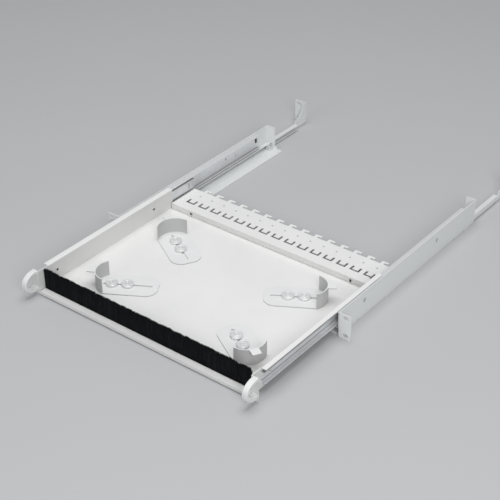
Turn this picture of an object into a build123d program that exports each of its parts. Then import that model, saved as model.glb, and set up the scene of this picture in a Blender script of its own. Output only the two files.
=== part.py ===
"""Sliding cable slack drawer for one unit of a 19-inch rack, in millimetres.

X runs to the right, Y to the rear and Z up. The origin is the centre of the four slots
in the front ears, on the ears' front face. The drawer is modelled partly drawn out.
Pieces that come in pairs are made for the right-hand side, and their left-hand twins
are mirrored.
"""

import os
from math import atan2, cos, degrees, radians, sin

from build123d import *

# Rack standard
unit_height = 44.45
rack_width = 482.6
rack_slot_inset = 8.75
rack_slot_pitch = 31.75
rack_slot_length = 10.3
rack_slot_width = 6.8
panel_height = 43.65

# Gaps between pieces
running_gap = 0.3
shank_gap = 0.05
stud_gap = 0.1

# Rails that stay in the rack
rail_sheet = 1.5
rail_ear_width = 21.3
rail_depth = 407.6
rail_bend = 2.0
rail_floor_width = 35.5
rail_rear_flange = 18.3
flange_foot_width = 4.5
flange_foot_height = 6.0
rail_relief = 4.0

# Ball slides between the rails and the tray
slide_sheet = 1.0
slide_bend = 1.0
slide_centre_height = 27.8
slide_height = 28.0
slide_room = 9.9
slide_front = 2.0
slide_length = 370.4
outer_race_lip = 2.0
inner_race_lip = 1.1
ball_radius = 1.2
ball_play = 0.1
ball_side_play = 0.2
race_inset = 1.95
balls_per_race = 5
ball_pitch = 14.0
cage_sheet = 0.45
cage_flange = 0.6
cage_shoulder = 0.15
cage_length = 74.0
cage_front = 54.0
lance_length = 7.0
lance_width = 1.4
lance_drop = 2.8
lance_places = (182.0, 308.0)
rivet_radius = 2.0
rivet_head_radius = 3.4
rivet_head_height = 0.9
rivet_places = (69.5, 281.0)

# Rear arms that set the rail's depth
arm_sheet = 1.2
arm_height = 9.4
arm_flange = 8.0
arm_front = 250.0
arm_ear_face = 526.5
gusset_top_length = 10.5
gusset_middle_length = 17.0
gusset_middle_height = 25.5
gusset_toe_length = 32.0
gusset_toe_height = 18.5
gusset_length = 35.0
clip_sheet = 1.6
clip_length = 12.0
clip_foot = 7.0
clip_set_back = 3.0
clip_screw_radius = 1.5
clip_screw_head_radius = 2.6
clip_screw_head_height = 1.6

# Tray
tray_sheet = 1.2
tray_bend = 1.6
tray_floor_height = 7.9
tray_wall_top = 43.9
tray_flange = 8.1
tray_flange_front = -173.0
tray_wall_rear = 122.0
tray_floor_rear = 172.0
tray_front = -195.0
tray_lip_height = 4.3
ledge_side_gap = 1.0
slide_inner_front = -173.5
slide_inner_rear = 181.0
wall_screw_places = (-155.3, 73.2)
wall_screw_radius = 1.5
wall_screw_head_radius = 2.8
wall_screw_head_height = 1.2
wall_screw_length = 5.0

# Handles
handle_offset = 6.1
handle_thickness = 9.4
handle_round = 1.4
handle_reach = 25.6
handle_bottom = 8.0
handle_shoulder = 11.8
handle_shoulder_radius = 26.0
handle_nose_height = 16.5
handle_nose_radius = 15.5
handle_hole_top = 37.8
handle_hole_bottom = 15.7
handle_hole_reach = 20.0
handle_hole_top_radius = 9.5
handle_hole_nose_height = 23.5
handle_hole_nose_radius = 8.0
handle_hole_foot = 9.0
handle_hole_foot_radius = 6.0
handle_screw_radius = 1.6
handle_screw_head_radius = 2.6
handle_screw_head_height = 1.4
handle_screw_depth = 6.0

# Brush along the front edge
brush_left_gap = 0.9
brush_right_gap = 9.6
brush_long_end_gap = 32.0
brush_short_start_gap = 28.4
brush_front = -184.0
bristle_thickness = 4.0
brush_channel_wall = 0.8
brush_channel_bend = 0.6
brush_channel_depth = 4.6
brush_flange = 2.4
brush_end_inset = 2.5
bristle_play = 0.05
bristle_meeting_gap = 30.8
bristle_meeting_height = 20.7
bristle_dip_gap = 31.9
bristle_dip_height = 39.6
bristle_slope_length = 12.3
bristle_clearance = 0.2
short_bristle_drop = 0.6
short_bristle_slope = 2.0
bristle_corner_length = 2.8
bristle_corner_height = 5.9

# Comb bar at the tray's rear
comb_sheet = 1.2
comb_front = 118.0
comb_length = 62.0
comb_top_height = 18.5
comb_side_gap = 1.4
comb_foot_gap = 0.8
comb_end_margin = 25.05
comb_count = 15
tongue_slit_width = 18.0
tongue_slit_length = 12.6
tongue_slit_stroke = 3.8
tongue_slit_front = 136.3
tie_hole_radius = 1.6
tie_hole_place = 165.0
hook_left = -4.6
hook_stem = 6.5
hook_width = 12.8
hook_reach = 8.5
hook_bar = 4.5
end_slot_inset = 15.9
end_slot_length = 11.0
end_slot_width = 5.0
comb_leg_length = 40.0
comb_screw_inset = 45.0
comb_screw_radius = 1.5
comb_screw_head_radius = 2.7
comb_screw_head_height = 1.2
lug_width = 12.0
lug_height = 8.0

# Bend guides, which slide along the tray's diagonals, and their distances from the tray's walls
guide_centre_y = -37.6
guide_angle = 30.7
guide_sheet = 1.5
guide_half_width = 26.0
guide_tail_length = 84.0
guide_tail_round = 19.0
guide_wall_radius = 29.5
guide_wall_height = 26.0
guide_flap_length = 12.5
guide_flap_width = 14.5
guide_flap_round = 2.5
guide_slot_width = 4.4
guide_slot_inner = 72.0
guide_slot_outer = 2.0
guide_places = {
    "guide_rear_left": (-1, 1, 72.6),
    "guide_rear_right": (1, 1, 69.2),
    "guide_front_left": (-1, -1, 80.6),
    "guide_front_right": (1, -1, 60.7),
}
stud_inner_gap = 115.4
stud_outer_gap = 90.3
stud_radius = 2.0
stud_foot_radius = 4.0
stud_foot_height = 1.0
stud_tip_gap = 0.5
nut_radius = 10.0
nut_height = 4.6
nut_edge = 1.0
nut_sink = 1.0

# Heights and planes that follow from the sizes above
rack_slot_span = rack_width - 2 * rack_slot_inset
rail_half_width = rack_width / 2 - rail_ear_width
unit_base = -unit_height / 2
rail_bottom = -panel_height / 2
rail_top = panel_height / 2
rail_inner_x = rail_half_width - rail_sheet
rail_floor_top = rail_bottom + rail_sheet
rail_mid_x = rail_half_width - rail_sheet / 2
rear_flange_mid = rail_depth - rail_sheet / 2
tray_inner_half_width = rail_inner_x - slide_room - tray_sheet
tray_floor_top = unit_base + tray_floor_height
tray_floor_bottom = tray_floor_top - tray_sheet
tray_top = unit_base + tray_wall_top
bristle_root = tray_floor_top + brush_channel_wall
tray_outer_x = tray_inner_half_width + tray_sheet
tray_mid_x = tray_inner_half_width + tray_sheet / 2
slide_z = unit_base + slide_centre_height
slide_half = slide_height / 2
ball_offset = slide_half - slide_sheet - ball_play - ball_radius
race_offset = ball_offset - ball_radius - ball_play
ball_x = tray_outer_x + slide_sheet + ball_radius + race_inset
outer_lip_x = ball_x - ball_radius - ball_side_play - slide_sheet / 2
inner_lip_x = ball_x + ball_radius + ball_side_play + slide_sheet / 2
tray_lip_bottom = tray_floor_bottom - tray_lip_height
ledge_half_width = tray_inner_half_width - ledge_side_gap
handle_x = tray_outer_x + handle_offset
comb_half_width = tray_inner_half_width - comb_side_gap
comb_pitch = 2 * (comb_half_width - comb_end_margin) / (comb_count - 1)
comb_screw_place = tray_inner_half_width - comb_screw_inset
comb_rear = comb_front + comb_length
comb_top = unit_base + comb_top_height
guide_diagonal = tray_inner_half_width / cos(radians(guide_angle))
guide_base = tray_floor_top + running_gap
guide_plate_top = guide_base + guide_sheet
nut_base = guide_plate_top + running_gap
nut_top = nut_base + nut_height

os.makedirs("parts", exist_ok=True)


def save(piece, name, mirrored=False):
    """Write a finished piece, or its mirror image for the left-hand side."""
    finished = piece.part.mirror(Plane.YZ) if mirrored else piece.part
    finished.label = name
    export_step(finished, f"parts/{name}.step")


def across(y, z=0):
    """The upright plane across the rack at a depth; extruding it goes to the front."""
    return Plane(origin=(0, y, z), x_dir=(1, 0, 0), z_dir=(0, -1, 0))


def block(x, y, z, mode=Mode.ADD):
    """A box between two corners, each direction given as its lowest and highest value."""
    middle = tuple((low + high) / 2 for low, high in (x, y, z))
    with Locations(middle):
        Box(x[1] - x[0], y[1] - y[0], z[1] - z[0], mode=mode)


def rod(start, direction, radius, length, mode=Mode.ADD):
    """A round rod from a point along a direction."""
    with BuildSketch(Plane(origin=start, z_dir=direction)) as end:
        Circle(radius)
    extrude(end.sketch, amount=length, mode=mode)


def rack_slots(face_y, mode=Mode.SUBTRACT):
    """The two oval slots of one ear, cut through whatever lies behind the face."""
    levels = (-rack_slot_pitch / 2, rack_slot_pitch / 2)
    with BuildSketch(across(face_y + 2 * rail_sheet)) as slots:
        with Locations(*[(rack_slot_span / 2, level) for level in levels]):
            SlotOverall(rack_slot_length, rack_slot_width)
    extrude(slots.sketch, amount=4 * rail_sheet, mode=mode)


def make_rail(side, mirrored):
    """Fixed rail: front ear, side plate, floor flange and rear flange folded from one sheet."""
    with BuildPart() as rail:
        with BuildSketch(Plane.XY.offset(rail_bottom)):
            with BuildLine():
                FilletPolyline(
                    (rack_width / 2, rail_sheet / 2),
                    (rail_mid_x, rail_sheet / 2),
                    (rail_mid_x, rear_flange_mid),
                    (rail_half_width - rail_rear_flange, rear_flange_mid),
                    radius=rail_bend,
                )
            trace(line_width=rail_sheet)
        extrude(amount=panel_height)
        block((rail_half_width - rail_floor_width, rail_half_width - rail_sheet / 2),
              (rail_relief, rail_depth - rail_sheet / 2), (rail_bottom, rail_floor_top))
        flange_end = rail_half_width - rail_rear_flange
        block((flange_end - flange_foot_width, flange_end + rail_sheet), (rail_depth - rail_sheet, rail_depth),
              (rail_bottom, rail_bottom + flange_foot_height))
        block((rail_inner_x - rail_sheet, rail_half_width + rail_sheet), (-rail_sheet, rail_relief),
              (rail_bottom - rail_sheet, rail_floor_top), mode=Mode.SUBTRACT)
        block((rail_inner_x - arm_flange - 2 * running_gap, rail_inner_x),
              (rail_depth - 2 * rail_sheet, rail_depth + rail_sheet),
              (rail_floor_top, rail_floor_top + arm_height + 2 * running_gap), mode=Mode.SUBTRACT)
        rack_slots(0)
        for place in rivet_places:
            rod((rail_inner_x - rail_sheet, place, slide_z), (1, 0, 0), rivet_radius + shank_gap,
                3 * rail_sheet, mode=Mode.SUBTRACT)
    save(rail, f"{side}_rail", mirrored)


def make_outer_slide(side, mirrored):
    """Outer slide member: a C with rolled lips, riveted to the rail and slit for its stops."""
    web_x = rail_inner_x - slide_sheet / 2
    flange_z = slide_half - slide_sheet / 2
    with BuildPart() as member:
        with BuildSketch(across(slide_front + slide_length, slide_z)):
            with BuildLine():
                FilletPolyline(
                    (outer_lip_x, flange_z - outer_race_lip),
                    (outer_lip_x, flange_z),
                    (web_x, flange_z),
                    (web_x, -flange_z),
                    (outer_lip_x, -flange_z),
                    (outer_lip_x, outer_race_lip - flange_z),
                    radius=slide_bend,
                )
            trace(line_width=slide_sheet)
        extrude(amount=slide_length)
        for place in rivet_places:
            rod((web_x - slide_sheet, place, slide_z), (1, 0, 0), rivet_radius + shank_gap,
                3 * slide_sheet, mode=Mode.SUBTRACT)
        lance_z = slide_z - lance_drop
        for place in lance_places:
            block((web_x - slide_sheet, web_x + slide_sheet),
                  (place - lance_width / 2, place + lance_width / 2),
                  (lance_z - lance_length / 2, lance_z + lance_length / 2), mode=Mode.SUBTRACT)
    save(member, f"{side}_outer_slide", mirrored)


def make_rivets(side, mirrored):
    """Rivets that hold the outer slide member on the rail."""
    with BuildPart() as rivets:
        for place in rivet_places:
            rod((rail_inner_x - slide_sheet, place, slide_z), (1, 0, 0), rivet_radius,
                slide_sheet + rail_sheet)
            with BuildSketch(Plane(origin=(rail_half_width, place, slide_z), z_dir=(1, 0, 0))):
                Circle(rivet_head_radius)
            extrude(amount=rivet_head_height, taper=30)
    save(rivets, f"{side}_slide_rivets", mirrored)


def make_cage(side, mirrored):
    """Ball cage: a thin C that wraps the inner member, pierced for the balls."""
    room_start = inner_lip_x + slide_sheet / 2
    web_inner = (room_start + rail_inner_x - slide_sheet - cage_sheet) / 2
    flange_end = ball_x - ball_radius + cage_shoulder
    with BuildPart() as cage:
        block((web_inner, web_inner + cage_sheet), (cage_front, cage_front + cage_length),
              (slide_z - ball_offset - cage_flange / 2, slide_z + ball_offset + cage_flange / 2))
        for level in (-1, 1):
            middle = slide_z + level * ball_offset
            block((flange_end, web_inner + cage_sheet), (cage_front, cage_front + cage_length),
                  (middle - cage_flange / 2, middle + cage_flange / 2))
        for place in ball_places():
            rod((ball_x, place, slide_z - slide_half), (0, 0, 1), ball_radius + ball_play, slide_height,
                mode=Mode.SUBTRACT)
    save(cage, f"{side}_ball_cage", mirrored)


def ball_places():
    """Depths of the balls of one race, evenly spaced about the cage's middle."""
    middle = cage_front + cage_length / 2
    return [middle + (index - (balls_per_race - 1) / 2) * ball_pitch for index in range(balls_per_race)]


def make_balls(side, mirrored):
    """Balls of the upper and the lower race."""
    with BuildPart() as balls:
        for level in (-1, 1):
            with Locations(*[(ball_x, place, slide_z + level * ball_offset) for place in ball_places()]):
                Sphere(ball_radius)
    save(balls, f"{side}_slide_balls", mirrored)


def make_inner_slide(side, mirrored):
    """Inner slide member, a C that opens towards the rail, screwed to the tray's wall."""
    web_x = tray_outer_x + slide_sheet / 2
    flange_z = race_offset - slide_sheet / 2
    lip_z = flange_z + inner_race_lip
    with BuildPart() as member:
        with BuildSketch(across(slide_inner_rear, slide_z)):
            with BuildLine():
                FilletPolyline(
                    (inner_lip_x, lip_z),
                    (inner_lip_x, flange_z),
                    (web_x, flange_z),
                    (web_x, -flange_z),
                    (inner_lip_x, -flange_z),
                    (inner_lip_x, -lip_z),
                    radius=slide_bend,
                )
            trace(line_width=slide_sheet)
        extrude(amount=slide_inner_rear - slide_inner_front)
        for place in wall_screw_places:
            rod((web_x - slide_sheet, place, slide_z), (1, 0, 0), wall_screw_radius + shank_gap,
                3 * slide_sheet, mode=Mode.SUBTRACT)
    save(member, f"{side}_inner_slide", mirrored)


def make_wall_screws(side, mirrored):
    """Screws through the tray's wall into the inner slide member."""
    with BuildPart() as screws:
        for place in wall_screw_places:
            rod((tray_inner_half_width, place, slide_z), (1, 0, 0), wall_screw_radius, wall_screw_length)
            rod((tray_inner_half_width, place, slide_z), (-1, 0, 0), wall_screw_head_radius,
                wall_screw_head_height)
    save(screws, f"{side}_slide_screws", mirrored)


def make_arm(side, mirrored):
    """Depth arm: a C strip in the rail whose web flares up to an ear for the rear post."""
    web_outer = rail_inner_x - running_gap
    bottom = rail_floor_top + running_gap
    top = bottom + arm_height
    flare_start = arm_ear_face - gusset_length
    toe = (arm_ear_face - gusset_toe_length, unit_base + gusset_toe_height)
    gusset_middle = (arm_ear_face - gusset_middle_length, unit_base + gusset_middle_height)
    gusset_top = (arm_ear_face - gusset_top_length, rail_top)
    with BuildPart() as arm:
        with BuildSketch(Plane.YZ.offset(web_outer - arm_sheet)):
            with BuildLine():
                Polyline(toe, (flare_start, top), (arm_front, top), (arm_front, bottom),
                         (arm_ear_face, bottom), (arm_ear_face, rail_top), gusset_top)
                ThreePointArc(gusset_top, gusset_middle, toe)
            make_face()
        extrude(amount=arm_sheet)
        for level in (bottom, top - arm_sheet):
            block((web_outer - arm_flange, web_outer), (arm_front, flare_start), (level, level + arm_sheet))
        block((web_outer - arm_sheet, rack_width / 2), (arm_ear_face - arm_sheet, arm_ear_face),
              (bottom, rail_top))
        rack_slots(arm_ear_face - arm_sheet)
    save(arm, f"{side}_rear_arm", mirrored)


def make_clip(side, mirrored):
    """Angle clip on the rail's floor that keeps the arm against the side plate."""
    rear = rail_depth - rail_sheet - clip_set_back
    face = rail_inner_x - running_gap - arm_flange - running_gap
    top = rail_floor_top + running_gap + arm_height
    with BuildPart() as clip:
        block((face - clip_foot, face), (rear - clip_length, rear),
              (rail_floor_top, rail_floor_top + clip_sheet))
        block((face - clip_sheet, face), (rear - clip_length, rear), (rail_floor_top, top))
        fillet(clip.edges().filter_by(Axis.X).group_by(Axis.Z)[-1], radius=clip_sheet)
        rod((face - clip_foot / 2 - clip_sheet / 2, rear - clip_length / 2, rail_floor_top), (0, 0, 1),
            clip_screw_radius + shank_gap, clip_sheet, mode=Mode.SUBTRACT)
    save(clip, f"{side}_arm_clip", mirrored)
    with BuildPart() as screw:
        foot = (face - clip_foot / 2 - clip_sheet / 2, rear - clip_length / 2, rail_floor_top)
        rod(foot, (0, 0, 1), clip_screw_radius, clip_sheet)
        rod((foot[0], foot[1], rail_floor_top + clip_sheet), (0, 0, 1), clip_screw_head_radius,
            clip_screw_head_height)
    save(screw, f"{side}_clip_screw", mirrored)


def stud_places():
    """Centres of the eight studs on the tray's floor."""
    places = []
    for x_sign, y_sign, _ in guide_places.values():
        for gap in (stud_inner_gap, stud_outer_gap):
            reach = guide_diagonal - gap
            places.append((x_sign * reach * cos(radians(guide_angle)),
                           guide_centre_y + y_sign * reach * sin(radians(guide_angle))))
    return places


def make_tray():
    """Tray folded from one sheet, with ears for the handles, a slot for the brush and lugs."""
    with BuildPart() as tray:
        with BuildSketch(across(tray_wall_rear)):
            with BuildLine():
                FilletPolyline(
                    (-tray_outer_x - tray_flange, tray_top - tray_sheet / 2),
                    (-tray_mid_x, tray_top - tray_sheet / 2),
                    (-tray_mid_x, tray_floor_top - tray_sheet / 2),
                    (tray_mid_x, tray_floor_top - tray_sheet / 2),
                    (tray_mid_x, tray_top - tray_sheet / 2),
                    (tray_outer_x + tray_flange, tray_top - tray_sheet / 2),
                    radius=tray_bend,
                )
            trace(line_width=tray_sheet)
        extrude(amount=tray_wall_rear - tray_flange_front)
        block((-ledge_half_width, ledge_half_width), (tray_wall_rear, tray_floor_rear),
              (tray_floor_bottom, tray_floor_top))
        block((-ledge_half_width, ledge_half_width), (tray_front, tray_flange_front),
              (tray_floor_bottom, tray_floor_top))
        block((-rail_half_width, rail_half_width), (tray_front, tray_front + tray_sheet),
              (tray_lip_bottom, tray_floor_bottom))
        for left, right in brush_spans():
            block((left + brush_end_inset - running_gap, right - brush_end_inset + running_gap),
                  brush_slot(running_gap),
                  (tray_floor_bottom - tray_sheet, tray_floor_top + tray_sheet), mode=Mode.SUBTRACT)
        for sign in (-1, 1):
            wall = sorted((sign * tray_inner_half_width, sign * tray_outer_x))
            block(wall, (tray_front, tray_flange_front), (tray_floor_bottom + tray_bend, tray_top))
            ear = sorted((sign * tray_inner_half_width, sign * rail_half_width))
            block(ear, (tray_front, tray_front + tray_sheet), (tray_lip_bottom, tray_top))
            lug = (sign * comb_screw_place - lug_width / 2, sign * comb_screw_place + lug_width / 2)
            lug_front = comb_front + comb_sheet
            block(lug, (lug_front, lug_front + tray_sheet), (tray_floor_top, tray_floor_top + lug_height))
            rod((sign * comb_screw_place, lug_front - tray_sheet, comb_screw_z()), (0, 1, 0),
                comb_screw_radius + shank_gap, 3 * tray_sheet, mode=Mode.SUBTRACT)
            for place in wall_screw_places:
                rod((sign * (tray_inner_half_width - tray_sheet), place, slide_z), (sign, 0, 0),
                    wall_screw_radius + shank_gap, 3 * tray_sheet, mode=Mode.SUBTRACT)
            for level in handle_screw_levels():
                rod((sign * handle_x, tray_front - tray_sheet, level), (0, 1, 0),
                    handle_screw_radius + shank_gap, 3 * tray_sheet, mode=Mode.SUBTRACT)
        with Locations(*[(x, y, tray_floor_bottom) for x, y in stud_places()]):
            Cylinder(stud_radius + shank_gap, 3 * tray_sheet, mode=Mode.SUBTRACT)
    save(tray, "tray")


def comb_screw_z():
    """Height of the comb bar's screws, halfway up the riser."""
    return (tray_floor_top + comb_top) / 2


def handle_screw_levels():
    """Heights of the two screws of one handle, each in the middle of a foot."""
    foot_ends = ((handle_bottom, handle_hole_bottom), (handle_hole_top, tray_wall_top))
    return [unit_base + (low + high) / 2 for low, high in foot_ends]


def make_handle(side, mirrored):
    """Front handle: a D loop that stands on the ear with two feet."""
    bottom = unit_base + handle_bottom
    middle = (bottom + tray_top) / 2
    shoulder = tray_front - handle_shoulder
    nose = tray_front - handle_reach
    nose_half = handle_nose_height / 2
    hole_top = unit_base + handle_hole_top
    hole_bottom = unit_base + handle_hole_bottom
    hole_nose = tray_front - handle_hole_reach
    hole_rear = tray_front + tray_sheet
    with BuildPart() as handle:
        with BuildSketch(Plane.YZ.offset(handle_x - handle_thickness / 2)):
            with BuildLine():
                outline = FilletPolyline(
                    (tray_front, tray_top),
                    (shoulder, tray_top),
                    (nose, middle + nose_half),
                    (nose, middle - nose_half),
                    (shoulder, bottom),
                    (tray_front, bottom),
                    radius=(handle_shoulder_radius, handle_nose_radius, handle_nose_radius,
                            handle_shoulder_radius),
                )
                Line(outline @ 1, outline @ 0)
            make_face()
            with BuildLine():
                hole = FilletPolyline(
                    (hole_rear, hole_top),
                    (hole_nose, hole_top),
                    (hole_nose, unit_base + handle_hole_nose_height),
                    (tray_front - handle_hole_foot, hole_bottom),
                    (hole_rear, hole_bottom),
                    radius=(handle_hole_top_radius, handle_hole_nose_radius, handle_hole_foot_radius),
                )
                Line(hole @ 1, hole @ 0)
            make_face(mode=Mode.SUBTRACT)
        extrude(amount=handle_thickness)
        side_edges = handle.faces().filter_by(Axis.X).edges()
        fillet(side_edges.filter_by_position(Axis.Y, nose, tray_front, inclusive=(True, False)),
               radius=handle_round)
        for level in handle_screw_levels():
            rod((handle_x, tray_front + tray_sheet, level), (0, -1, 0), handle_screw_radius + shank_gap,
                tray_sheet + handle_screw_depth, mode=Mode.SUBTRACT)
    save(handle, f"{side}_handle", mirrored)
    with BuildPart() as screws:
        for level in handle_screw_levels():
            rod((handle_x, tray_front + tray_sheet, level), (0, -1, 0), handle_screw_radius,
                tray_sheet + handle_screw_depth - shank_gap)
            rod((handle_x, tray_front + tray_sheet, level), (0, 1, 0), handle_screw_head_radius,
                handle_screw_head_height)
    save(screws, f"{side}_handle_screws", mirrored)


def brush_spans():
    """Left and right end of the long and of the short row, at the bristles' roots."""
    return (
        (brush_left_gap - tray_inner_half_width, tray_inner_half_width - brush_long_end_gap),
        (tray_inner_half_width - brush_short_start_gap, tray_inner_half_width - brush_right_gap),
    )


def brush_slot(gap):
    """Front and rear face of a brush channel, grown by a gap."""
    wall = brush_channel_wall + bristle_play + gap
    return (brush_front - wall, brush_front + bristle_thickness + wall)


def bristle_outlines():
    """Side lines of the two rows, from the channel up: the rows lean together at their gap."""
    right = tray_inner_half_width
    meeting = (right - bristle_meeting_gap, unit_base + bristle_meeting_height)
    dip = (right - bristle_dip_gap, unit_base + bristle_dip_height)
    long_left, long_right = brush_spans()[0]
    short_left, short_right = brush_spans()[1]
    short_top = tray_top - short_bristle_drop
    return (
        ((long_left, bristle_root), (long_left, tray_top), (dip[0] - bristle_slope_length, tray_top),
         (dip[0] - bristle_clearance, dip[1]), (meeting[0] - bristle_clearance, meeting[1]),
         (long_right, bristle_root)),
        ((short_left, bristle_root), (meeting[0] + bristle_clearance, meeting[1]),
         (dip[0] + bristle_clearance, dip[1]), (dip[0] + short_bristle_slope, short_top),
         (short_right - bristle_corner_length, short_top),
         (short_right, tray_top - bristle_corner_height), (short_right, bristle_root)),
    )


def make_brush():
    """Brush along the tray's front edge: two channels seated in the floor and their bristles."""
    front, rear = brush_slot(0)
    lip_z = tray_floor_top + brush_channel_wall / 2
    for length, (left, right), corners in zip(("long", "short"), brush_spans(), bristle_outlines()):
        half = brush_channel_wall / 2
        start, end = left + brush_end_inset, right - brush_end_inset
        with BuildPart() as channel:
            with BuildSketch(Plane(origin=(start, 0, 0), x_dir=(0, 1, 0), z_dir=(1, 0, 0))):
                with BuildLine():
                    FilletPolyline(
                        (front - brush_flange, lip_z),
                        (front + half, lip_z),
                        (front + half, lip_z - brush_channel_depth),
                        (rear - half, lip_z - brush_channel_depth),
                        (rear - half, lip_z),
                        (rear + brush_flange, lip_z),
                        radius=brush_channel_bend,
                    )
                trace(line_width=brush_channel_wall)
            extrude(amount=end - start)
        save(channel, f"{length}_brush_channel")
        with BuildPart() as bristles:
            block((start, end), (brush_front, brush_front + bristle_thickness),
                  (lip_z - brush_channel_depth + brush_channel_wall, bristle_root))
            with BuildSketch(across(brush_front + bristle_thickness)):
                with BuildLine():
                    Polyline(*corners, close=True)
                make_face()
            extrude(amount=bristle_thickness)
        save(bristles, f"{length}_bristles")


def make_comb():
    """Comb bar: a raised shelf with lanced tongues, tie holes and hooks along its rear edge."""
    pitch_lines = [(index - (comb_count - 1) / 2) * comb_pitch for index in range(comb_count)]
    with BuildPart() as comb:
        with BuildSketch(Plane.XY.offset(comb_top - comb_sheet)):
            with Locations((0, (comb_front + comb_rear) / 2)):
                Rectangle(2 * comb_half_width, comb_rear - comb_front)
            for x in pitch_lines:
                hook_x = x + hook_left
                with Locations((hook_x + hook_stem / 2, comb_rear + hook_reach / 2)):
                    Rectangle(hook_stem, hook_reach)
                with Locations((hook_x + hook_width / 2, comb_rear + hook_reach - hook_bar / 2)):
                    Rectangle(hook_width, hook_bar)
                slit_middle = tongue_slit_front + tongue_slit_length / 2
                with Locations((x, slit_middle)):
                    Rectangle(tongue_slit_width, tongue_slit_length, mode=Mode.SUBTRACT)
                with Locations((x, slit_middle + tongue_slit_stroke / 2)):
                    Rectangle(tongue_slit_width - 2 * tongue_slit_stroke,
                              tongue_slit_length - tongue_slit_stroke)
                with Locations((x, tie_hole_place)):
                    Circle(tie_hole_radius, mode=Mode.SUBTRACT)
            with Locations((tray_inner_half_width - end_slot_inset, tongue_slit_front)):
                Rectangle(end_slot_length, end_slot_width, mode=Mode.SUBTRACT)
        extrude(amount=comb_sheet)
        block((-comb_half_width, comb_half_width), (comb_front, comb_front + comb_sheet),
              (tray_floor_top + comb_foot_gap, comb_top))
        for sign in (-1, 1):
            leg = sorted((sign * (comb_half_width - comb_sheet), sign * comb_half_width))
            block(leg, (comb_front, comb_front + comb_leg_length), (tray_floor_top, comb_top))
            rod((sign * comb_screw_place, comb_front - comb_sheet, comb_screw_z()), (0, 1, 0),
                comb_screw_radius + shank_gap, 3 * comb_sheet, mode=Mode.SUBTRACT)
    save(comb, "comb_bar")
    with BuildPart() as screws:
        for sign in (-1, 1):
            rod((sign * comb_screw_place, comb_front, comb_screw_z()), (0, 1, 0), comb_screw_radius,
                comb_sheet + tray_sheet)
            rod((sign * comb_screw_place, comb_front, comb_screw_z()), (0, -1, 0),
                comb_screw_head_radius, comb_screw_head_height)
    save(screws, "comb_screws")


def make_guide(name, x_sign, y_sign, gap):
    """Bend guide: a slotted plate, a bent wall for the cable and a flap over the cable."""
    angle = degrees(atan2(y_sign * sin(radians(guide_angle)), x_sign * cos(radians(guide_angle))))
    reach = guide_diagonal - gap
    sagitta_centre = reach - (guide_wall_radius**2 - guide_half_width**2) ** 0.5
    half_span = degrees(atan2(guide_half_width, reach - sagitta_centre))
    frame = Plane(origin=(0, guide_centre_y, guide_base), z_dir=(0, 0, 1)).rotated((0, 0, angle))
    with BuildPart() as guide:
        with BuildSketch(frame):
            with BuildLine():
                outline = FilletPolyline(
                    (reach, guide_half_width),
                    (reach - guide_tail_length, guide_half_width),
                    (reach - guide_tail_length, -guide_half_width),
                    (reach, -guide_half_width),
                    radius=guide_tail_round,
                )
                ThreePointArc(outline @ 1, (sagitta_centre + guide_wall_radius, 0), outline @ 0)
            make_face()
            slot_inner = reach - guide_slot_inner
            slot_outer = reach + guide_slot_outer
            with Locations(((slot_inner + slot_outer) / 2, 0)):
                SlotCenterToCenter(slot_outer - slot_inner, guide_slot_width, mode=Mode.SUBTRACT)
        extrude(amount=guide_sheet)
        with BuildSketch(frame):
            with BuildLine():
                CenterArc((sagitta_centre, 0), guide_wall_radius - guide_sheet / 2, -half_span, 2 * half_span)
            trace(line_width=guide_sheet)
        extrude(amount=guide_sheet + guide_wall_height)
        flap_start = sagitta_centre + guide_wall_radius - guide_sheet
        flap_end = sagitta_centre + guide_wall_radius + guide_flap_length
        flap_side = guide_flap_width / 2
        with BuildSketch(frame.offset(guide_wall_height)):
            with BuildLine():
                flap = FilletPolyline(
                    (flap_start, flap_side),
                    (flap_end, flap_side),
                    (flap_end, -flap_side),
                    (flap_start, -flap_side),
                    radius=guide_flap_round,
                )
                Line(flap @ 1, flap @ 0)
            make_face()
        extrude(amount=guide_sheet)
    save(guide, name)


def make_studs():
    """Studs pressed into the tray's floor, which the thumb nuts turn on."""
    with BuildPart() as studs:
        for x, y in stud_places():
            rod((x, y, tray_floor_bottom - stud_foot_height), (0, 0, 1), stud_foot_radius,
                stud_foot_height)
            rod((x, y, tray_floor_bottom), (0, 0, 1), stud_radius,
                nut_top - stud_tip_gap - nut_sink - tray_floor_bottom)
    save(studs, "guide_studs")


def make_nut(name, x, y):
    """Round thumb nut with a bevelled edge."""
    with BuildPart() as nut:
        with BuildSketch(Plane(origin=(x, y, nut_base), z_dir=(0, 0, 1))):
            Circle(nut_radius)
            Circle(stud_radius + stud_gap, mode=Mode.SUBTRACT)
        extrude(amount=nut_height)
        chamfer(nut.edges().filter_by(GeomType.CIRCLE).group_by(SortBy.RADIUS)[-1], length=nut_edge)
        with Locations((x, y, nut_top)):
            Cone(stud_radius + stud_gap, stud_radius + stud_gap + nut_sink, 2 * nut_sink,
                 align=(Align.CENTER, Align.CENTER, Align.CENTER), mode=Mode.SUBTRACT)
    save(nut, name)


for side_name, is_mirrored in (("right", False), ("left", True)):
    make_rail(side_name, is_mirrored)
    make_outer_slide(side_name, is_mirrored)
    make_rivets(side_name, is_mirrored)
    make_cage(side_name, is_mirrored)
    make_balls(side_name, is_mirrored)
    make_inner_slide(side_name, is_mirrored)
    make_wall_screws(side_name, is_mirrored)
    make_arm(side_name, is_mirrored)
    make_clip(side_name, is_mirrored)
    make_handle(side_name, is_mirrored)

make_tray()
make_brush()
make_comb()
make_studs()
for guide_name, (guide_x, guide_y, guide_gap) in guide_places.items():
    make_guide(guide_name, guide_x, guide_y, guide_gap)
nut_names = [f"{name.replace('guide_', 'nut_')}_{place}"
             for name in guide_places for place in ("inner", "outer")]
for nut_name, (nut_x, nut_y) in zip(nut_names, stud_places()):
    make_nut(nut_name, nut_x, nut_y)
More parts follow.
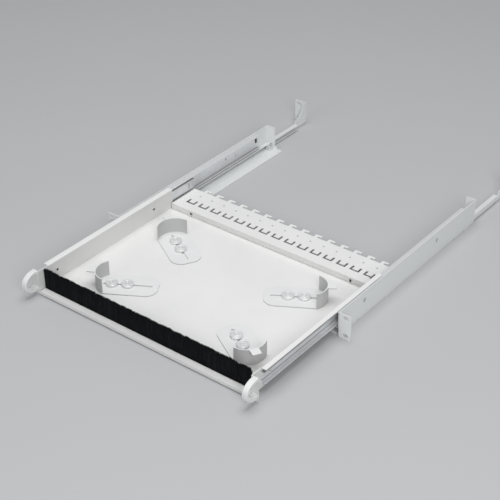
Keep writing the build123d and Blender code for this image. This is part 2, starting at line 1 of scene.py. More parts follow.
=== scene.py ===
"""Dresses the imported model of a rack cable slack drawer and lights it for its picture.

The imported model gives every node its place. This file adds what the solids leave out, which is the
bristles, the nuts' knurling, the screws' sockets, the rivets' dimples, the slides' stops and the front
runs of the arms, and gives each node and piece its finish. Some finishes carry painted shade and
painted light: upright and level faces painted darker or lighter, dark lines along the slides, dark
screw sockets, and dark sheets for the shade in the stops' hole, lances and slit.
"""

import random
from collections import namedtuple
from math import atan2, cos, pi, radians, sin, tau

import bmesh
import bpy
from bpy.props import FloatProperty, FloatVectorProperty, IntProperty
from mathutils import Matrix, Vector


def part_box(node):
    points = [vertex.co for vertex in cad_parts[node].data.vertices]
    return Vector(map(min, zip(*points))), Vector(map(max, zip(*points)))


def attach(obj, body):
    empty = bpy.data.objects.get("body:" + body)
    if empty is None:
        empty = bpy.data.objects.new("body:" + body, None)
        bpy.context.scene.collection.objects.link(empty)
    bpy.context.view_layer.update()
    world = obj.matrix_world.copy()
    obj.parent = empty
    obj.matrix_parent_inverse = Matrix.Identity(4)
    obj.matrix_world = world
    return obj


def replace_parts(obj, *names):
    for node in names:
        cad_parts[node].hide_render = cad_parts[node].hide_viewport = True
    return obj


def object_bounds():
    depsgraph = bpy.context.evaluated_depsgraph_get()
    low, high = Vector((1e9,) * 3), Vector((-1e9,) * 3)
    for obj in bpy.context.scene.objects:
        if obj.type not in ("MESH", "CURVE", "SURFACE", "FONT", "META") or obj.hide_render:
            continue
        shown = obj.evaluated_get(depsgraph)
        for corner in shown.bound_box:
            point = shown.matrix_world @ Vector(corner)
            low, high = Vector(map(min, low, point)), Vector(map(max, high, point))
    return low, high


bl_info = {
    "name": "Cable Slack Drawer",
    "version": (1, 0, 0),
    "blender": (4, 5, 0),
    "location": "3D View > Sidebar > Drawer",
    "description": "Dresses and lights a cable slack drawer for a rack",
    "category": "Object",
}

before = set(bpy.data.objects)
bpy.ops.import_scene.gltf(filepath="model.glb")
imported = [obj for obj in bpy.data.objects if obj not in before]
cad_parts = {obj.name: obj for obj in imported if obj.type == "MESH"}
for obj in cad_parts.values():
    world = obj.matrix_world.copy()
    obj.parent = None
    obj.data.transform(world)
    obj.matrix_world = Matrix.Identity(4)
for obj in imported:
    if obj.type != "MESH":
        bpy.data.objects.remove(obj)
cad_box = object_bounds()

SIDES = (("left", -1), ("right", 1))
PROUD = 0.0001
SMOOTH_ANGLE = radians(35.0)
MERGE_DISTANCE = 1e-7

# The radius and height of a head, and the radius and length of its shank
Fastener = namedtuple("Fastener", "head tall shank long")
WALL_SCREW = Fastener(0.0028, 0.0012, 0.0015, 0.005)
COMB_SCREW = Fastener(0.0027, 0.0012, 0.0015, 0.0024)
RIVET = Fastener(0.0034, 0.0009, 0.002, 0.0025)
NUT_BORE = 0.0021

# The C strip of a rear arm, and how far it runs forward of the arm's node
ARM_SHEET, ARM_FLANGE, ARM_RUN = 0.0012, 0.008, 0.168

# The slides' stops: the bent tab and the hole that it leaves, the lances in the outer members by their
# depth, and the curved slit of the inner members; the hole, the lances and the slit are dark sheets of
# painted shade. Heights are from the slide's middle.
SLIDE_SHEET = 0.0010
TAB_SETBACK, TAB_SHEET, TAB_REACH = 0.0008, 0.0012, 0.0024
TAB_BOTTOM, TAB_TOP = -0.0042, 0.0048
TAB_HOLE_BACK, TAB_HOLE_FRONT = 0.0013, 0.0052
LANCE_DEPTHS, LANCE_DROP = (0.182, 0.308), 0.0028
LANCE_HALF_WIDTH, LANCE_HALF_HEIGHT = 0.0006, 0.0034
SLIT_SETBACK, SLIT_RISE = 0.0200, 0.001
SLIT_OUTER, SLIT_INNER, SLIT_SPAN, SLIT_STEP = 0.0075, 0.0065, 42, 6

# Painted shade lines on the inner members, by their heights from the slide's middle, and each member's
# share of painted light, which makes the right member lighter
MEMBER_SHADE_LINES = {"left": (0.0, (-0.0086, 0.0099)), "right": (0.1, (-0.0115, -0.0050, 0.0099))}

# The brush: its random draws, its lines of tufts about a row's middle, the waves of its tips, and where
# the upper corners of a row's solid are looked for below its top
BRUSH_SEED, TUFT_KINDS = 7, 10
LINE_OFFSET, TIP_PLAY, CORNER_DROP = 0.0008, 0.0006, 0.012
LONG_WAVE, SHORT_WAVE = 0.0004, 0.0003

# The stage: each lamp's place, aim, size and power, and the camera with its turns in degrees
FLOOR_COLOUR, FLOOR_HALF_WIDTH, FLOOR_GAP = (0.50, 0.502, 0.506), 6.0, 0.0002
WORLD_COLOUR, WORLD_STRENGTH = (0.92, 0.95, 1.0), 0.25
LAMPS = {
    "top_softbox": ((0.0, 0.2, 3.0), (0.0, 0.1, 0.0), 2.4, 57.0),
    "key_softbox": ((1.9, -1.6, 1.5), (0.0, 0.1, 0.0), 1.2, 34.0),
    "front_softbox": ((-0.4, -2.6, 1.3), (0.0, 0.0, 0.0), 1.2, 10.0),
}
CAMERA_PLACE, CAMERA_TURNS = (1.05728, -1.29703, 1.136165), (56.83, 0.0, 37.71)
CAMERA_LENS, CAMERA_SENSOR, CAMERA_SHIFT = 92.99, 36.0, 0.001


# Materials


class Socket:
    """A socket or a number on which shader maths is written as Python expressions."""

    def __init__(self, shader, source):
        self.shader = shader
        self.source = source

    def maths(self, operation, *values):
        return self.shader.node("ShaderNodeMath", {"operation": operation}, *values)

    def __add__(self, other):
        return self.maths("ADD", self, other)

    def __radd__(self, other):
        return self.maths("ADD", other, self)

    def __sub__(self, other):
        return self.maths("SUBTRACT", self, other)

    def __rsub__(self, other):
        return self.maths("SUBTRACT", other, self)

    def __mul__(self, other):
        return self.maths("MULTIPLY", self, other)

    def __rmul__(self, other):
        return self.maths("MULTIPLY", other, self)

    def size(self):
        """The value without its sign."""
        return self.maths("ABSOLUTE", self)


class Shader:
    """A material's node tree with one Principled shader."""

    def __init__(self, name, **fixed):
        self.material = bpy.data.materials.new(name)
        self.material.use_nodes = True
        self.tree = self.material.node_tree
        self.principled = self.tree.nodes["Principled BSDF"]
        for socket_name, value in fixed.items():
            self.principled.inputs[socket_name.replace("_", " ")].default_value = value

    def node(self, kind, settings=None, *values, output=0, **named):
        """Adds a node: its settings first, then its sockets by order or by name."""
        made = self.tree.nodes.new(kind)
        for key, value in (settings or {}).items():
            setattr(made, key, value)
        sockets = list(enumerate(values)) + [(key.replace("_", " "), value) for key, value in named.items()]
        for key, value in sockets:
            self.feed(made.inputs[key], value)
        return Socket(self, made.outputs[output])

    def feed(self, socket, value):
        if isinstance(value, Socket):
            self.tree.links.new(value.source, socket)
        else:
            socket.default_value = value

    def position(self):
        """The point on the surface in object coordinates."""
        return self.node("ShaderNodeTexCoord", output="Object")

    def noise(self, scale, detail=3.0, rough=0.5, stretch=(1.0, 1.0, 1.0)):
        """A noise over the surface, stretched along the axes."""
        place = self.node("ShaderNodeMapping", {}, Vector=self.position(), Scale=stretch)
        return self.node("ShaderNodeTexNoise", {}, Vector=place, Scale=scale, Detail=detail, Roughness=rough)

    def part_of(self, vector, axis):
        """One coordinate of a point or a direction."""
        return self.node("ShaderNodeSeparateXYZ", {}, vector, output="XYZ".index(axis))

    def level(self):
        """1 on faces that lie level and 0 on upright ones."""
        normal = self.node("ShaderNodeTexCoord", output="Normal")
        return self.spread(self.part_of(normal, "Z").size(), 0.25, 0.85)

    def mix(self, factor, first, second):
        """Mixes two colours."""
        made = self.tree.nodes.new("ShaderNodeMix")
        made.data_type = "RGBA"
        for key, value in ((0, factor), (6, first), (7, second)):
            self.feed(made.inputs[key], value)
        return Socket(self, made.outputs[2])

    def spread(self, value, low, high, new_low=0.0, new_high=1.0):
        """Maps a value from one range to another, held within it."""
        made = self.tree.nodes.new("ShaderNodeMapRange")
        for key, item in enumerate((value, low, high, new_low, new_high)):
            self.feed(made.inputs[key], item)
        return Socket(self, made.outputs[0])

    def bump(self, height, strength, distance):
        """Raises the surface where the height is great."""
        normal = self.node("ShaderNodeBump", {}, Strength=strength, Distance=distance, Height=height)
        self.feed(self.principled.inputs["Normal"], normal)

    def set(self, **values):
        """Feeds the Principled shader's sockets and gives the finished material."""
        for key, value in values.items():
            self.feed(self.principled.inputs[key.replace("_", " ")], value)
        return self.material


def colour(value, shift=0.0):
    """A linear colour with its alpha, lightened or darkened by a share."""
    return tuple(min(1.0, channel * (1.0 + shift)) for channel in value[:3]) + (1.0,)


def powder_coat(name, base, grain=1.0, upright_shade=0.0):
    """Fine-textured powder coat: orange-peel bumps and faint mottling.

    Upright shade says by what share the upright faces are painted darker, as painted shade; a share below
    zero paints them lighter, as painted light.
    """
    shader = Shader(name, Specular_IOR_Level=0.42)
    mottle = shader.noise(9.0, 4.0, 0.6)
    fine = shader.noise(900.0, 2.0, 0.6)
    peel = shader.noise(310.0, 3.0, 0.55)
    tone = shader.mix(shader.spread(mottle, 0.35, 0.68), colour(base, -0.025), colour(base, 0.015))
    tone = shader.mix(shader.spread(fine, 0.30, 0.42, 0.10, 0.0), tone, colour(base, -0.30))
    if upright_shade:
        # painted shade, or painted light for a share below zero: upright faces darker or lighter than level
        # ones
        tone = shader.mix(shader.level(), colour(base, -upright_shade), tone)
    shader.bump(peel * 0.7 + fine * 0.3, 0.16 * grain, 0.0006)
    rough = shader.spread(mottle, 0.3, 0.7, 0.40, 0.50) + shader.spread(peel, 0.35, 0.65, -0.03, 0.03)
    return shader.set(Base_Color=tone, Roughness=rough)


def zinc(name, base, rough, metal=1.0, along=(6.0, 0.6, 6.0), shade_lines=(), level_shade=0.0, under=0.0):
    """Zinc plate on drawn steel: fine lines along the draw and a cloudy tone.

    Shade lines are the heights of painted dark lines, painted shade along the rolled ribs and the gaps
    between the members. Level shade says how dark the level faces under a height are painted, as painted
    shade; the other level faces get half of it.
    """
    shader = Shader(name, Metallic=metal)
    lines = shader.noise(140.0, 3.0, 0.6, stretch=along)
    cloud = shader.noise(30.0, 3.0, 0.5)
    tone = shader.mix(shader.spread(cloud, 0.35, 0.65), colour(base, -0.05), colour(base, 0.03))
    tone = shader.mix(shader.spread(lines, 0.35, 0.65, 0.0, 0.35), tone, colour(base, -0.22))
    # painted shade: dark lines at the given heights
    for shade_height in shade_lines:
        distance = (shader.part_of(shader.position(), "Z") - shade_height).size()
        tone = shader.mix(shader.spread(distance, 0.0005, 0.0012, 0.85, 0.0), tone, colour(base, -0.7))
    # painted shade: level faces darker, darkest under the given height
    if level_shade:
        tone = shader.mix(shader.level(), tone, colour(base, -0.5 * level_shade))
        height = shader.part_of(shader.position(), "Z")
        low_level_shade = shader.level() * shader.spread(height, under - 0.001, under + 0.001, 1.0, 0.0)
        tone = shader.mix(low_level_shade, tone, colour(base, -level_shade))
    shader.bump(lines, 0.10, 0.0003)
    return shader.set(Base_Color=tone, Roughness=shader.spread(lines, 0.35, 0.65, rough - 0.06, rough + 0.10))


def fibre(name, base):
    """Matt black fibres, each strand with its own tone from the stretched noise."""
    shader = Shader(name, Specular_IOR_Level=0.16)
    strand = shader.noise(700.0, 2.0, 0.7, stretch=(1.0, 1.0, 0.02))
    tone = shader.mix(shader.spread(strand, 0.35, 0.65), colour(base, -0.4), colour(base, 0.9))
    shader.bump(strand, 0.4, 0.0005)
    return shader.set(Base_Color=tone, Roughness=shader.spread(strand, 0.3, 0.7, 0.45, 0.7))


def plain_floor(name, base):
    """Plain pale floor with the faintest mottling."""
    shader = Shader(name, Specular_IOR_Level=0.2)
    mottle = shader.noise(3.0, 2.0)
    tone = shader.mix(mottle, colour(base, -0.01), colour(base, 0.01))
    return shader.set(Base_Color=tone, Roughness=shader.spread(mottle, 0.0, 1.0, 0.7, 0.8))


# Helpers for meshes


def finish_piece(mesh, name, body, materials, turn_out=True):
    """Turns a bmesh into a piece that rides on a body, with its finishes."""
    bmesh.ops.remove_doubles(mesh, verts=mesh.verts, dist=MERGE_DISTANCE)
    if turn_out:
        bmesh.ops.recalc_face_normals(mesh, faces=mesh.faces)
    data = bpy.data.meshes.new(name)
    mesh.to_mesh(data)
    mesh.free()
    piece = bpy.data.objects.new(name, data)
    bpy.context.scene.collection.objects.link(piece)
    for material in materials:
        data.materials.append(material)
    data.shade_smooth()
    data.set_sharp_from_angle(angle=SMOOTH_ANGLE)
    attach(piece, body)
    return piece


def stand_in(mesh, name, body, materials):
    """Puts a turned piece in the place of a node."""
    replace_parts(finish_piece(mesh, f"{name}_turned", body, materials), name)


def finishes(*names):
    """Materials by their names."""
    return [bpy.data.materials[name] for name in names]


def dress(nodes, material):
    """Gives CAD nodes a material."""
    for name in nodes:
        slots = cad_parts[name].data.materials
        slots.clear()
        slots.append(material)


def parts_of_kind(made, kind):
    """The vertices or the edges that an operator made."""
    return [item for item in made["geom"] if isinstance(item, kind)]


def prism(mesh, outline, start, end, axis, finish=0):
    """Adds a prism: an outline in the plane across an axis (by its number), drawn along that axis."""
    points = [list(point) for point in outline]
    for point in points:
        point.insert(axis, start)
    face = mesh.faces.new([mesh.verts.new(point) for point in points])
    far = parts_of_kind(bmesh.ops.extrude_face_region(mesh, geom=[face]), bmesh.types.BMVert)
    way = Vector((0.0, 0.0, 0.0))
    way[axis] = end - start
    bmesh.ops.translate(mesh, verts=far, vec=way)
    for side in {side for point in far for side in point.link_faces} | {face}:
        side.material_index = finish


def rectangle(left, right, bottom, top):
    """The corners of an upright rectangle."""
    return [(left, bottom), (right, bottom), (right, top), (left, top)]


def round_shape(angle):
    """A round outline."""
    return 1.0


def hexagon(angle):
    """A hexagon's outline, as a share of the distance to its corners."""
    return cos(pi / 6) / cos(angle % (pi / 3) - pi / 6)


def knurl(angle):
    """The outline of a knurled edge."""
    return 0.985 + 0.015 * cos(angle * 32)


def turned(mesh, rings, start, direction, ring_shut=False, segments=48, recess=0):
    """Adds a turned solid: rings of a height, a radius and a shape, from a point along a direction.

    The last bands, as many as the recess counts, take the second finish.
    """
    loop = bmesh.ops.create_circle(mesh, segments=segments, radius=1.0)["verts"]
    edges = list({edge for point in loop for edge in point.link_edges})
    first, every = edges, list(loop)
    bands = len(rings) - (0 if ring_shut else 1)
    for count, (height, radius, shape) in enumerate(rings):
        if count:
            made = bmesh.ops.extrude_edge_only(mesh, edges=edges)
            loop = parts_of_kind(made, bmesh.types.BMVert)
            edges = parts_of_kind(made, bmesh.types.BMEdge)
            every += loop
            for face in {face for edge in edges for face in edge.link_faces}:
                face.material_index = int(count > bands - recess)
        for point in loop:
            angle = atan2(point.co.y, point.co.x)
            reach = radius * shape(angle)
            point.co = (reach * cos(angle), reach * sin(angle), height)
    if ring_shut:
        bmesh.ops.bridge_loops(mesh, edges=first + edges)
    else:
        bmesh.ops.edgeloop_fill(mesh, edges=first, mat_nr=0)
        bmesh.ops.edgeloop_fill(mesh, edges=edges, mat_nr=int(recess > 0))
    turn = Vector(direction).to_track_quat("Z", "Y").to_matrix().to_4x4()
    bmesh.ops.transform(mesh, matrix=Matrix.Translation(start) @ turn, verts=every)


def screw_rings(size):
    """A button head with a hexagon socket on a plain shank; the seat is at height zero."""
    head, tall, shank, long = size
    return [
        (-long, shank, round_shape), (0.0, shank, round_shape), (0.0, head, round_shape),
        (tall * 0.35, head, round_shape), (tall * 0.75, head * 0.90, round_shape),
        (tall, head * 0.76, round_shape), (tall, head * 0.72, hexagon), (tall * 0.15, head * 0.68, hexagon),
    ]


def rivet_rings(size):
    """A domed head with the dimple that the mandrel leaves."""
    head, tall, shank, long = size
    return [
        (-long, shank, round_shape), (0.0, shank, round_shape), (0.0, head, round_shape),
        (tall * 0.4, head, round_shape), (tall, head * 0.80, round_shape),
        (tall, head * 0.64, round_shape), (tall * 0.6, head * 0.52, round_shape),
        (tall * 0.5, head * 0.30, round_shape),
    ]


def nut_rings(outer, bore, tall):
    """A thumb nut: a knurled rim round a dished face with a boss."""
    return [
        (0.0, bore, round_shape), (0.0, outer * 0.93, round_shape), (tall * 0.16, outer * 0.985, knurl),
        (tall * 0.20, outer, knurl), (tall * 0.62, outer, knurl), (tall * 0.68, outer * 0.985, knurl),
        (tall * 0.84, outer * 0.90, round_shape), (tall * 0.84, outer * 0.80, round_shape),
        (tall * 0.70, outer * 0.72, round_shape), (tall * 0.70, outer * 0.52, round_shape),
        (tall * 0.98, outer * 0.47, round_shape), (tall, outer * 0.44, round_shape),
        (tall, bore * 1.45, round_shape), (tall * 0.80, bore, round_shape),
    ]


def top_line(name, above):
    """The upper corners of a bristle row's solid, from left to right."""
    corners = {(round(point.co.x, 5), round(point.co.z, 5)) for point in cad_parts[name].data.vertices}
    return sorted(corner for corner in corners if corner[1] > above)


def height_at(line, x):
    """The height of a line of corners at a place along the row."""
    for (x0, z0), (x1, z1) in zip(line, line[1:]):
        if x <= x1:
            return z0 + (z1 - z0) * max(0.0, x - x0) / (x1 - x0)
    return line[-1][1]


def make_tuft(sizes, rng):
    """One tuft one unit high at the origin: fibres that spread from a hole to a loose tip."""
    mesh = bmesh.new()
    for _ in range(sizes.fibres):
        foot = Vector((rng.gauss(0.0, sizes.foot), rng.gauss(0.0, sizes.foot * 0.5), 0.0))
        tip = Vector((rng.uniform(-1.0, 1.0) * sizes.spread, rng.uniform(-1.0, 1.0) * sizes.spread * 0.55, 0.0))
        tall = rng.uniform(0.972, 1.0) - (rng.uniform(0.01, 0.06) if rng.random() < 0.06 else 0.0)
        made = bmesh.ops.create_cone(
            mesh, cap_ends=True, segments=3, radius1=sizes.thickness, radius2=sizes.thickness * 0.6, depth=1.0,
        )
        shear = Matrix.Identity(4)
        shear[0][2], shear[1][2], shear[2][2] = tip.x - foot.x, tip.y - foot.y, tall
        place = Matrix.Translation(foot) @ shear @ Matrix.Translation((0.0, 0.0, 0.5))
        turn = Matrix.Rotation(rng.uniform(0.0, tau), 4, "Z")
        bmesh.ops.transform(mesh, matrix=place @ turn, verts=made["verts"])
    tuft = bpy.data.meshes.new("tuft")
    mesh.to_mesh(tuft)
    mesh.free()
    return tuft


def bristle_row(name, tufts, sizes, rng):
    """Two staggered lines of tufts that fill the outline of a row's solid."""
    low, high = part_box(name)
    line = top_line(name, high.z - CORNER_DROP)
    mesh = bmesh.new()
    middle = (low.y + high.y) / 2
    count = round((high.x - low.x) / sizes.pitch)
    pitch = (high.x - low.x) / count
    for row, depth in enumerate((middle - LINE_OFFSET, middle + LINE_OFFSET)):
        for index in range(count):
            x = low.x + (index + 0.25 + 0.5 * row) * pitch + rng.gauss(0.0, 0.0001)
            wave = LONG_WAVE * sin(x * 160.0 + row) + SHORT_WAVE * sin(x * 410.0)
            tall = high.z - low.z - TIP_PLAY + wave
            start = len(mesh.verts)
            mesh.from_mesh(rng.choice(tufts))
            mesh.verts.ensure_lookup_table()
            lean = Matrix.Identity(4)
            lean[0][2], lean[1][2], lean[2][2] = rng.gauss(0.0, 0.0005), rng.gauss(0.0, 0.0003), tall
            place = Matrix.Translation((x, depth, low.z)) @ lean
            bmesh.ops.transform(mesh, matrix=place, verts=mesh.verts[start:])
    left, right = line[0][0], line[-1][0]
    for point in mesh.verts:
        share = (point.co.z - low.z) / (high.z - low.z)
        point.co.x = min(max(point.co.x, low.x + (left - low.x) * share), high.x + (right - high.x) * share)
        limit = height_at(line, point.co.x)
        if point.co.z > limit:
            point.co.z = limit - rng.uniform(0.0, TIP_PLAY)
    return mesh


# Sizes and colours a user would change


class DrawerFinish(bpy.types.PropertyGroup):
    tray_colour: FloatVectorProperty(
        name="Tray colour", description="Powder coat of the tray, comb bar and brush channels",
        subtype="COLOR", size=3, min=0.0, max=1.0, default=(0.80, 0.80, 0.785),
    )
    rail_colour: FloatVectorProperty(
        name="Rail colour", description="Powder coat of the rails and their rear arms",
        subtype="COLOR", size=3, min=0.0, max=1.0, default=(0.70, 0.715, 0.713),
    )
    guide_colour: FloatVectorProperty(
        name="Guide colour", description="Powder coat of the bend guides",
        subtype="COLOR", size=3, min=0.0, max=1.0, default=(0.78, 0.78, 0.775),
    )
    zinc_colour: FloatVectorProperty(
        name="Zinc colour", description="Plating of the slides and fasteners",
        subtype="COLOR", size=3, min=0.0, max=1.0, default=(0.78, 0.79, 0.80),
    )
    nut_colour: FloatVectorProperty(
        name="Nut colour", description="Satin nickel of the thumb nuts",
        subtype="COLOR", size=3, min=0.0, max=1.0, default=(0.82, 0.82, 0.82),
    )
    brush_colour: FloatVectorProperty(
        name="Brush colour", description="Fibres of the brush",
        subtype="COLOR", size=3, min=0.0, max=1.0, default=(0.006, 0.0065, 0.008),
    )


class BristleSizes(bpy.types.PropertyGroup):
    pitch: FloatProperty(
        name="Pitch", description="Distance between neighbouring tufts of a row",
        default=0.004, min=0.001, max=0.02, subtype="DISTANCE", unit="LENGTH",
    )
    fibres: IntProperty(name="Fibres", description="Fibres of one tuft", default=64, min=4, max=200)
    foot: FloatProperty(
        name="Foot", description="How far the fibres stray in the tuft's hole",
        default=0.0011, min=0.0, max=0.004, subtype="DISTANCE", unit="LENGTH",
    )
    spread: FloatProperty(
        name="Spread", description="How far the tips stray from the tuft's middle",
        default=0.0028, min=0.0, max=0.01, subtype="DISTANCE", unit="LENGTH",
    )
    thickness: FloatProperty(
        name="Thickness", description="Radius of a fibre at its foot",
        default=0.0002, min=0.00005, max=0.001, subtype="DISTANCE", unit="LENGTH",
    )


class DRAWER_OT_coats(bpy.types.Operator):
    """Gives the rails, tray, guides and handles their powder coat"""

    bl_idname = "drawer.coats"
    bl_label = "Powder Coat"

    def execute(self, context):
        finish = context.scene.drawer_finish
        # Painted shade on the upright faces of the tray and guides; painted light on the upright faces of the
        # rails
        tray = powder_coat("tray_coat", finish.tray_colour, upright_shade=0.10)
        rails = powder_coat("rail_coat", finish.rail_colour, upright_shade=-0.15)
        guides = powder_coat("guide_coat", finish.guide_colour, upright_shade=0.33)
        handles = powder_coat("handle_coat", finish.guide_colour, 0.6)
        dress(["tray", "comb_bar", "long_brush_channel", "short_brush_channel"], tray)
        dress(["left_rail", "right_rail", "left_rear_arm", "right_rear_arm"], rails)
        dress([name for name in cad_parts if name.startswith("guide_") and name != "guide_studs"], guides)
        dress(["left_handle", "right_handle"], handles)
        return {"FINISHED"}


class DRAWER_OT_arms(bpy.types.Operator):
    """Lengthens the rear arms' C strips forward inside the rails"""

    bl_idname = "drawer.arms"
    bl_label = "Arm Runs"

    def execute(self, context):
        for side, sign in SIDES:
            points = [point.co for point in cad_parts[f"{side}_rear_arm"].data.vertices]
            front = min(point.y for point in points)
            end = [point for point in points if point.y < front + 1e-5]
            outer = max(abs(point.x) for point in end)
            inner, lip = outer - ARM_SHEET, outer - ARM_FLANGE
            bottom, top = min(point.z for point in end), max(point.z for point in end)
            outline = [
                (outer, bottom), (outer, top), (lip, top), (lip, top - ARM_SHEET), (inner, top - ARM_SHEET),
                (inner, bottom + ARM_SHEET), (lip, bottom + ARM_SHEET), (lip, bottom),
            ]
            mesh = bmesh.new()
            prism(mesh, [(sign * x, z) for x, z in outline], front - ARM_RUN, front, 1)
            finish_piece(mesh, f"{side}_arm_run", f"{side}_arm", finishes("rail_coat"))
        return {"FINISHED"}


class DRAWER_OT_plating(bpy.types.Operator):
    """Gives the slides, cages, balls and studs their plating"""

    bl_idname = "drawer.plating"
    bl_label = "Plating"

    def execute(self, context):
        finish = context.scene.drawer_finish
        base = finish.zinc_colour
        low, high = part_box("right_inner_slide")
        middle = (low.z + high.z) / 2
        # Two copies of the drawn zinc: painted shade lines on each, and the right member painted lighter as
        # painted light
        for side, (share, offsets) in MEMBER_SHADE_LINES.items():
            shade_lines = [middle + offset for offset in offsets]
            drawn = zinc(f"drawn_zinc_{side}", colour(base, share), 0.40, metal=0.60, shade_lines=shade_lines)
            dress([f"{side}_inner_slide"], drawn)
        plain = zinc("pressed_zinc", base, 0.42, metal=0.55)
        zinc("turned_zinc", colour(base, -0.45), 0.3, metal=0.7, along=(16.0, 16.0, 16.0))
        # near-black zinc for painted shade: in the screws' sockets and as dark sheets in the stops
        zinc("recess_shade_zinc", colour(base, -0.93), 0.5, metal=0.3, along=(16.0, 16.0, 16.0))
        bright = zinc("bright_balls", colour(base, 0.2), 0.15, along=(1.0, 1.0, 1.0))
        zinc("satin_nickel", finish.nut_colour, 0.34, metal=0.3, along=(16.0, 16.0, 1.0))
        # painted shade on the races' level faces, darkest below the slide's middle
        races = zinc("race_zinc", colour(base, 0.18), 0.45, metal=0.2, level_shade=0.55, under=middle)
        dress(["left_outer_slide", "right_outer_slide"], races)
        dress([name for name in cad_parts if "cage" in name or "clip" in name
               or name.endswith("handle_screws") or name == "guide_studs"], plain)
        dress(["left_slide_balls", "right_slide_balls"], bright)
        return {"FINISHED"}


class DRAWER_OT_nuts(bpy.types.Operator):
    """Makes the knurled and dished thumb nuts"""

    bl_idname = "drawer.nuts"
    bl_label = "Thumb Nuts"

    def execute(self, context):
        for name in [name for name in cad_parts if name.startswith("nut_")]:
            low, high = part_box(name)
            middle = (low + high) / 2
            rings = nut_rings((high.x - low.x) / 2, NUT_BORE, high.z - low.z)
            mesh = bmesh.new()
            turned(mesh, rings, (middle.x, middle.y, low.z), (0.0, 0.0, 1.0), ring_shut=True, segments=128)
            stand_in(mesh, name, name, finishes("satin_nickel"))
        return {"FINISHED"}


class DRAWER_OT_fasteners(bpy.types.Operator):
    """Makes the slides' screws and rivets and the comb bar's screws"""

    bl_idname = "drawer.fasteners"
    bl_label = "Screws and Rivets"

    def execute(self, context):
        for side, sign in SIDES:
            name = f"{side}_slide_screws"
            low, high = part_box(name)
            x = (low.x if sign > 0 else high.x) + sign * WALL_SCREW.tall
            seats = [(x, y, (low.z + high.z) / 2) for y in (low.y + WALL_SCREW.head, high.y - WALL_SCREW.head)]
            # the sockets take the near-black finish, painted shade in the recess
            self.fasten(name, "drawer", screw_rings(WALL_SCREW), seats, (-sign, 0.0, 0.0), 2,
                        finishes("pressed_zinc", "recess_shade_zinc"))
            name = f"{side}_slide_rivets"
            low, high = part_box(name)
            x = (high.x if sign > 0 else low.x) - sign * RIVET.tall
            seats = [(x, y, (low.z + high.z) / 2) for y in (low.y + RIVET.head, high.y - RIVET.head)]
            self.fasten(name, "rails", rivet_rings(RIVET), seats, (sign, 0.0, 0.0), 3,
                        finishes("turned_zinc", "pressed_zinc"))
        low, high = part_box("comb_screws")
        y = low.y + COMB_SCREW.tall
        seats = [(x, y, (low.z + high.z) / 2) for x in (low.x + COMB_SCREW.head, high.x - COMB_SCREW.head)]
        # the sockets take the near-black finish, painted shade in the recess
        self.fasten("comb_screws", "drawer", screw_rings(COMB_SCREW), seats, (0.0, -1.0, 0.0), 2,
                    finishes("turned_zinc", "recess_shade_zinc"))
        return {"FINISHED"}

    def fasten(self, name, body, rings, seats, direction, recess, materials):
        """Makes the like fasteners of one node, one at each seat."""
        mesh = bmesh.new()
        for seat in seats:
            turned(mesh, rings, seat, direction, recess=recess)
        stand_in(mesh, name, body, materials)


class DRAWER_OT_stops(bpy.types.Operator):
    """Adds the slides' small stops: a bent tab at the rails' end, with dark sheets of painted shade for its
    hole and the lances, and a dark sheet of painted shade for a curved slit near the drawer's
    """

    bl_idname = "drawer.stops"
    bl_label = "Slide Stops"

    def execute(self, context):
        for side, sign in SIDES:
            low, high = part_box(f"{side}_outer_slide")
            back_face = max(abs(low.x), abs(high.x))
            web = back_face - SLIDE_SHEET
            middle, end = (low.z + high.z) / 2, high.y - TAB_SETBACK
            bottom, top = middle + TAB_BOTTOM, middle + TAB_TOP
            mesh = bmesh.new()
            tab = rectangle(end - TAB_SHEET, end, bottom, top)
            prism(mesh, tab, sign * (web + PROUD), sign * (web - TAB_REACH), 0)
            # a dark sheet of painted shade where the tab's hole is
            hole = rectangle(end - TAB_HOLE_FRONT, end - TAB_HOLE_BACK, bottom, top)
            prism(mesh, hole, sign * (web + PROUD), sign * (web - PROUD), 0, 1)
            # dark sheets of painted shade where the lances are
            for depth in LANCE_DEPTHS:
                lance_middle = middle - LANCE_DROP
                lance = rectangle(depth - LANCE_HALF_WIDTH, depth + LANCE_HALF_WIDTH,
                                  lance_middle - LANCE_HALF_HEIGHT, lance_middle + LANCE_HALF_HEIGHT)
                prism(mesh, lance, sign * (back_face + PROUD), sign * (back_face - PROUD), 0, 1)
            finish_piece(mesh, f"{side}_rear_stop", "rails", finishes("pressed_zinc", "recess_shade_zinc"))
            low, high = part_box(f"{side}_inner_slide")
            web = min(abs(low.x), abs(high.x))
            turns = [radians(turn) for turn in range(-SLIT_SPAN, SLIT_SPAN + 1, SLIT_STEP)]
            slit = [(high.y - SLIT_SETBACK + radius * cos(turn), middle + SLIT_RISE + radius * sin(turn))
                    for radius, order in ((SLIT_OUTER, turns), (SLIT_INNER, turns[::-1])) for turn in order]
            mesh = bmesh.new()
            # a dark sheet of painted shade for the curved slit
            prism(mesh, slit, sign * (web + PROUD), sign * (web - PROUD), 0)
            finish_piece(mesh, f"{side}_stop_slit_shade", "drawer", finishes("recess_shade_zinc"))
        return {"FINISHED"}


class DRAWER_OT_brush(bpy.types.Operator):
    """Makes the tufts of the brush in the outline of its two rows"""

    bl_idname = "drawer.brush"
    bl_label = "Brush"

    def execute(self, context):
        sizes = context.scene.drawer_bristles
        strands = fibre("fibre_black", context.scene.drawer_finish.brush_colour)
        rng = random.Random(BRUSH_SEED)
        tufts = [make_tuft(sizes, rng) for _ in range(TUFT_KINDS)]
        for name in ("long_bristles", "short_bristles"):
            mesh = bristle_row(name, tufts, sizes, rng)
            piece = finish_piece(mesh, f"{name}_fibres", "drawer", [strands], turn_out=False)
            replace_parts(piece, name)
        for tuft in tufts:
            bpy.data.meshes.remove(tuft)
        return {"FINISHED"}


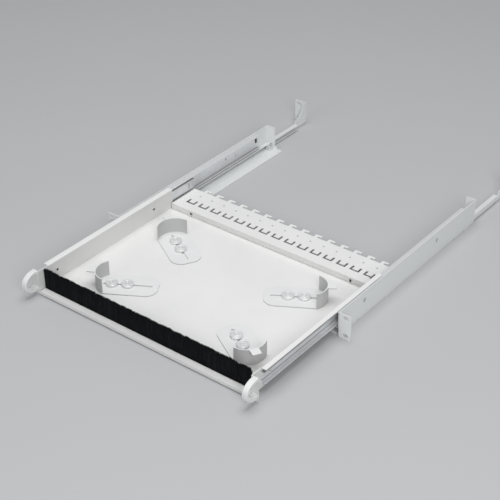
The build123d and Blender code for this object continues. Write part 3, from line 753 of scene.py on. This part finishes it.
class DRAWER_OT_stage(bpy.types.Operator):
    """Makes the floor, the lights and the camera"""

    bl_idname = "drawer.stage"
    bl_label = "Stage"

    def execute(self, context):
        scene = context.scene
        mesh = bmesh.new()
        bmesh.ops.create_grid(mesh, x_segments=1, y_segments=1, size=FLOOR_HALF_WIDTH)
        bmesh.ops.translate(mesh, verts=mesh.verts, vec=(0.0, 1.0, cad_box[0][2] - FLOOR_GAP))
        data = bpy.data.meshes.new("floor")
        mesh.to_mesh(data)
        mesh.free()
        floor = bpy.data.objects.new("floor", data)
        scene.collection.objects.link(floor)
        data.materials.append(plain_floor("floor_paper", FLOOR_COLOUR))

        world = bpy.data.worlds.new("studio")
        world.use_nodes = True
        background = world.node_tree.nodes["Background"]
        background.inputs["Color"].default_value = colour(WORLD_COLOUR)
        background.inputs["Strength"].default_value = WORLD_STRENGTH
        scene.world = world

        for name, (place, aim, size, power) in LAMPS.items():
            light = bpy.data.lights.new(name, "AREA")
            light.shape = "SQUARE"
            light.size = size
            light.energy = power
            lamp = bpy.data.objects.new(name, light)
            lamp.location = place
            lamp.rotation_euler = (Vector(aim) - Vector(place)).to_track_quat("-Z", "Y").to_euler()
            scene.collection.objects.link(lamp)

        view = bpy.data.cameras.new("camera")
        view.lens = CAMERA_LENS
        view.sensor_width = CAMERA_SENSOR
        view.shift_y = CAMERA_SHIFT
        camera = bpy.data.objects.new("camera", view)
        camera.location = CAMERA_PLACE
        camera.rotation_euler = [radians(turn) for turn in CAMERA_TURNS]
        scene.collection.objects.link(camera)
        scene.camera = camera
        scene.view_settings.view_transform = "Standard"
        return {"FINISHED"}


class DRAWER_PT_panel(bpy.types.Panel):
    """Lists the drawer's operators and finishes"""

    bl_idname = "DRAWER_PT_panel"
    bl_label = "Cable Slack Drawer"
    bl_space_type = "VIEW_3D"
    bl_region_type = "UI"
    bl_category = "Drawer"

    def draw(self, context):
        for group in (context.scene.drawer_finish, context.scene.drawer_bristles):
            for name in group.__annotations__:
                self.layout.prop(group, name)
        for operator in OPERATORS:
            self.layout.operator(operator.bl_idname)


OPERATORS = (
    DRAWER_OT_coats, DRAWER_OT_arms, DRAWER_OT_plating, DRAWER_OT_nuts, DRAWER_OT_fasteners, DRAWER_OT_stops,
    DRAWER_OT_brush, DRAWER_OT_stage,
)
CLASSES = (DrawerFinish, BristleSizes) + OPERATORS + (DRAWER_PT_panel,)


def register():
    for item in CLASSES:
        bpy.utils.register_class(item)
    bpy.types.Scene.drawer_finish = bpy.props.PointerProperty(type=DrawerFinish)
    bpy.types.Scene.drawer_bristles = bpy.props.PointerProperty(type=BristleSizes)


def unregister():
    del bpy.types.Scene.drawer_bristles
    del bpy.types.Scene.drawer_finish
    for item in reversed(CLASSES):
        bpy.utils.unregister_class(item)


def main():
    register()
    for operator in OPERATORS:
        group, name = operator.bl_idname.split(".")
        getattr(getattr(bpy.ops, group), name)()


if __name__ == "__main__":
    main()
